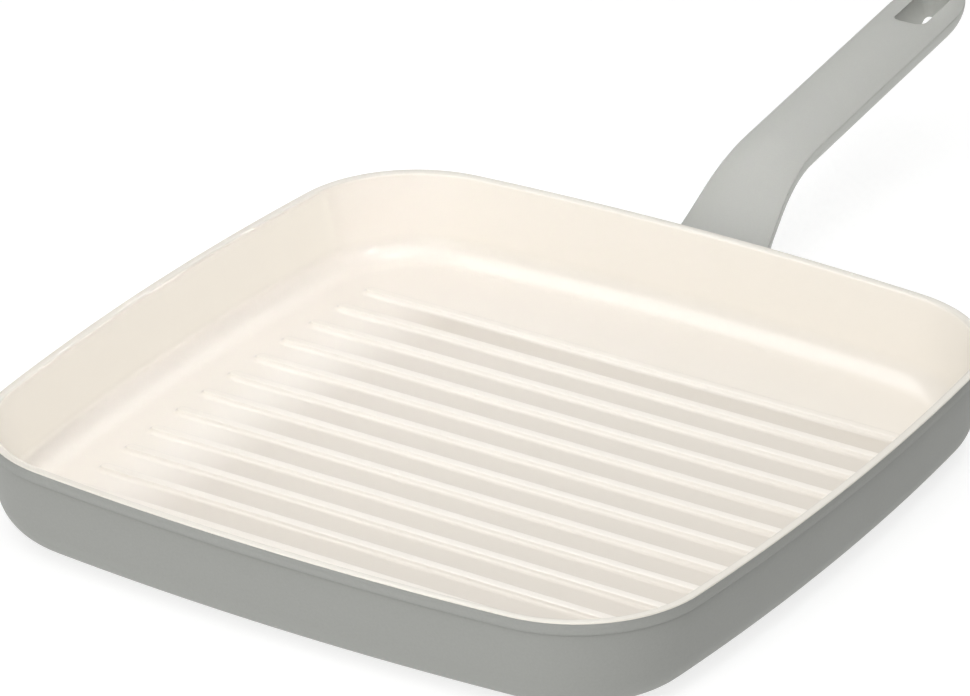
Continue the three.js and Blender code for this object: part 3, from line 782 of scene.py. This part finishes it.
# Moulded phenolic: pale warm grey, with the fine matt texture of a spark-eroded mould.
MOULD_TEXTURE = 0.6 * MM  # drawn coarser than the real texture, so that it shows
FLOW_SIZE = 30 * MM  # of the patches left by the flow of the moulding
DARK_MOULDING = "B7B8B3"
LIGHT_MOULDING = "BDBEB9"
phenolic, shader, place = new_material("matt_phenolic")
texture = add_node(
    phenolic, "ShaderNodeTexNoise", {"Vector": place, "Scale": 1 / MOULD_TEXTURE, "Detail": 2}
)
texture_bump = add_node(
    phenolic, "ShaderNodeBump", {"Height": texture.outputs["Fac"], "Strength": 0.1, "Distance": 0.1 * MM}
)
flow = add_node(phenolic, "ShaderNodeTexNoise", {"Vector": place, "Scale": 1 / FLOW_SIZE, "Detail": 3})
skin = add_node(
    phenolic, "ShaderNodeMapRange", {"Value": flow.outputs["Fac"], "To Min": 0.42, "To Max": 0.55}
)
tone = add_node(
    phenolic,
    "ShaderNodeMix",
    {
        "Factor": texture.outputs["Fac"],
        FIRST_COLOUR: linear(DARK_MOULDING),
        SECOND_COLOUR: linear(LIGHT_MOULDING),
    },
    data_type="RGBA",
)
set_inputs(phenolic, shader, {
    "Base Color": tone.outputs[MIXED_COLOUR],
    "Roughness": skin.outputs["Result"],
    "Specular IOR Level": 0.2,
    "Normal": texture_bump.outputs["Normal"],
})
handle = make_piece("moulded_handle", shape, phenolic, "handle_moulding", "handle")

WELD = 0.002 * MM  # corners that a cut leaves closer than this become one


def cut(piece, shape):
    """Cuts a closed shape out of a finished piece."""
    bmesh.ops.recalc_face_normals(shape, faces=shape.faces)
    mesh = bpy.data.meshes.new("cutter")
    shape.to_mesh(mesh)
    shape.free()
    cutter = bpy.data.objects.new("cutter", mesh)
    bpy.context.scene.collection.objects.link(cutter)
    boolean = piece.modifiers.new("cut", "BOOLEAN")
    boolean.object = cutter
    boolean.solver = "EXACT"
    evaluated = piece.evaluated_get(bpy.context.evaluated_depsgraph_get())
    result = bpy.data.meshes.new_from_object(evaluated)
    piece.modifiers.clear()
    welded = bmesh.new()
    welded.from_mesh(result)
    bmesh.ops.remove_doubles(welded, verts=welded.verts, dist=WELD)
    welded.to_mesh(result)
    welded.free()
    piece.data = result
    bpy.data.objects.remove(cutter)


# Hanging hole: a long hole with round corners, cut through the grip with walls that draw in downwards.
HOLE_CORNER_STEPS = 8
shape = bmesh.new()
half = Vector((HOLE_LENGTH / 2 - HOLE_CORNER, HOLE_WIDTH / 2 - HOLE_CORNER, 0))
corner_radius = HOLE_CORNER + HOLE_LIP
first = shape.verts.new((half.x + corner_radius, -half.y, land_height + HANDLE_CROWN))
last = first
for x, y in ((1, 1), (-1, 1), (-1, -1), (1, -1)):
    centre = Vector((half.x * x, half.y * y, first.co.z))
    turn = Matrix.Rotation(math.atan2(y, x) - QUARTER / 2, 3, "Z")
    start = centre + turn @ Vector((corner_radius, 0, 0))
    if (start - last.co).length > SAME_CORNER:
        run = bmesh.ops.extrude_vert_indiv(shape, verts=[last])["verts"]
        bmesh.ops.translate(shape, verts=run, vec=start - last.co)
        last = run[0]
    arc = bmesh.ops.spin(
        shape, geom=[last], cent=centre, axis=(0, 0, 1), angle=QUARTER, steps=HOLE_CORNER_STEPS
    )
    last = next(item for item in arc["geom_last"] if isinstance(item, bmesh.types.BMVert))
face = turned_towards(closed_face(shape, first, last, ()), -1)
hollow_centre = Vector((HOLE_LIP, land_height - HOLE_LIP))
sweep(shape, face, [
    Vector((0, first.co.z)),
    *arc_points(hollow_centre, HOLE_LIP, QUARTER, math.pi, HOLE_LIP_STEPS),
    Vector((HOLE_LIP + HOLE_CUT_DEPTH * math.tan(HOLE_DRAFT), -HOLE_CUT_DEPTH)),
])
bmesh.ops.edgeloop_fill(shape, edges=open_edges(shape, ()))
bmesh.ops.transform(shape, matrix=handle_frame(hole_middle), verts=shape.verts)
cut(handle, shape)

# Screw recess: a round well under the handle's neck, where the screw is driven into the lug.
WELL_FIT = 0.3 * MM
WELL_STEPS = 40
HANDLE_SHARP_ANGLE = math.radians(32)
washer_low, washer_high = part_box("handle_washer")
well_radius = (washer_high.z - washer_low.z) / 2 + WELL_FIT
well_end = washer_low.x + HANDLE_GRIP_LENGTH
well_middle = Matrix.Translation(((washer_low.x + well_end) / 2, 0, (washer_low.z + washer_high.z) / 2))
shape = bmesh.new()
bmesh.ops.create_cone(
    shape,
    cap_ends=True,
    segments=WELL_STEPS,
    radius1=well_radius,
    radius2=well_radius,
    depth=well_end - washer_low.x,
    matrix=well_middle @ Matrix.Rotation(QUARTER, 4, "Y"),
)
cut(handle, shape)
handle.data.shade_smooth()
handle.data.set_sharp_from_angle(angle=HANDLE_SHARP_ANGLE)

# Screw and washers: a cross-slotted pan-head screw of zinc-plated steel, on a spring washer and a flat one.
# They sit at the end of the recess under the neck, and their solids are kept.

# Zinc plating: bright bluish-white metal, with a fine crystal grain that softens its shine.
PLATING_GRAIN = 0.5 * MM
zinc, shader, place = new_material("zinc_plated_steel")
plating = add_node(zinc, "ShaderNodeTexNoise", {"Vector": place, "Scale": 1 / PLATING_GRAIN, "Detail": 2})
plating_sheen = add_node(
    zinc, "ShaderNodeMapRange", {"Value": plating.outputs["Fac"], "To Min": 0.22, "To Max": 0.4}
)
set_inputs(zinc, shader, {
    "Base Color": linear("CFCFCB"),
    "Metallic": 1,
    "Roughness": plating_sheen.outputs["Result"],
})
for name in ("handle_screw", "handle_washer", "spring_washer"):
    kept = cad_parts[name]
    kept.data.materials.clear()
    kept.data.materials.append(zinc)

# Floor: a plain white studio table that the pan stands on. It glows a little, so that it comes out as
# white as the background of the photograph, and it still takes a soft shadow.
FLOOR_SIZE = 12  # metres
shape = bmesh.new()
bmesh.ops.create_grid(shape, x_segments=1, y_segments=1, size=FLOOR_SIZE / 2)
mesh = bpy.data.meshes.new("studio_floor")
shape.to_mesh(mesh)
shape.free()
floor = bpy.data.objects.new("studio_floor", mesh)
bpy.context.scene.collection.objects.link(floor)
table_white, shader, place = new_material("white_table")
set_inputs(table_white, shader, {
    "Base Color": linear("A8A8A7"),
    "Roughness": 0.9,
    "Emission Color": linear("FFFFFF"),
    "Emission Strength": 0.71,
})
mesh.materials.append(table_white)

# Light: a big soft key panel high on the camera's side, a low one to the left of the camera, and a soft
# pool and a narrow beam on the left of the pan's inside. Two panels beyond the pan show only as
# reflections. A pale room, darker on the right, lights the rest.
def soft_panel(name, place, width, height, brightness, aim=(0, 0, 0), spread=180, reflected_only=False):
    """A soft panel turned to its aim: lengths in metres, its brightness as seen, its spread in degrees."""
    light = bpy.data.lights.new(name, "AREA")
    light.shape = "RECTANGLE"
    light.size = width
    light.size_y = height
    light.energy = brightness * math.pi * width * height
    light.spread = math.radians(spread)
    panel = bpy.data.objects.new(name, light)
    panel.location = place
    panel.rotation_mode = "QUATERNION"
    panel.rotation_quaternion = (Vector(place) - Vector(aim)).to_track_quat("Z", "Y")
    panel.visible_diffuse = not reflected_only
    bpy.context.scene.collection.objects.link(panel)


soft_panel("key_panel", place=(-0.7, -0.36, 1.34), width=1.5, height=1.4, brightness=1.64)
soft_panel("left_panel", place=(-1.48, -0.2, 0.35), width=1.2, height=0.7, brightness=1.9)
soft_panel(
    "pool_panel",
    place=(0, -0.3, 1.45),
    width=0.5,
    height=0.5,
    brightness=0.32,
    aim=(-0.05, 0.14, 0),
    spread=40,
)
soft_panel(
    "beam_panel",
    place=(-0.25, -1.75, 1.6),
    width=0.5,
    height=0.15,
    brightness=0.3,
    aim=(0, 0.135, 0.03),
    spread=8,
)
soft_panel(
    "strip_panel", place=(0.05, 0.55, 1), width=1.7, height=0.4, brightness=2.5, reflected_only=True
)
soft_panel(
    "back_panel", place=(1.12, 0.3, 0.85), width=1.2, height=0.8, brightness=0.9, reflected_only=True
)

DARK_SIDE = (0, -0.95, -0.3)  # the direction in which the room is darkest
ROOM_STRENGTH = 0.52
DARK_STRENGTH = 0.06
DARK_FROM = 0.8  # how squarely a direction faces the dark side where the room is darkest
room = bpy.data.worlds.new("pale_room")
bpy.context.scene.world = room
room.use_nodes = True
backdrop = room.node_tree.nodes["Background"]
look = add_node(room, "ShaderNodeTexCoord", {}).outputs["Generated"]
to_dark = add_node(room, "ShaderNodeVectorMath", {0: look, 1: DARK_SIDE}, operation="DOT_PRODUCT")
side = add_node(
    room,
    "ShaderNodeMapRange",
    {
        "Value": to_dark.outputs["Value"],
        "From Min": 0,
        "From Max": DARK_FROM,
        "To Min": ROOM_STRENGTH,
        "To Max": DARK_STRENGTH,
    },
)
set_inputs(room, backdrop, {"Color": linear("FFFFFF"), "Strength": side.outputs["Result"]})

# Camera: a long lens about two metres away, which sees the pan over one corner, as the photograph does.
# It is aimed a little off the middle of the rim.
PHOTO_WIDTH_PX = 970
PHOTO_FOCAL_PX = 6402.5
SENSOR_WIDTH_MM = 36
VIEW_AZIMUTH = math.radians(-147.553)
VIEW_ELEVATION = math.radians(26.554)
VIEW_ROLL = math.radians(-0.121)
VIEW_DISTANCE = 2.16336
VIEW_RIGHT = 1.99 * MM
VIEW_DOWN = 10.95 * MM
lens = bpy.data.cameras.new("long_lens")
lens.sensor_width = SENSOR_WIDTH_MM
lens.lens = PHOTO_FOCAL_PX / PHOTO_WIDTH_PX * SENSOR_WIDTH_MM
camera = bpy.data.objects.new("camera", lens)
bpy.context.scene.collection.objects.link(camera)
bpy.context.scene.camera = camera
level = math.cos(VIEW_ELEVATION)
towards = Vector((
    math.cos(VIEW_AZIMUTH) * level,
    math.sin(VIEW_AZIMUTH) * level,
    math.sin(VIEW_ELEVATION),
))
turn = towards.to_track_quat("Z", "Y").to_matrix() @ Matrix.Rotation(VIEW_ROLL, 3, "Z")
spot = Vector((0, 0, PAN_HEIGHT)) + towards * VIEW_DISTANCE
spot += turn @ Vector((-VIEW_RIGHT, VIEW_DOWN, 0))
camera.matrix_world = Matrix.Translation(spot) @ turn.to_4x4()
bpy.context.scene.view_settings.view_transform = "Standard"
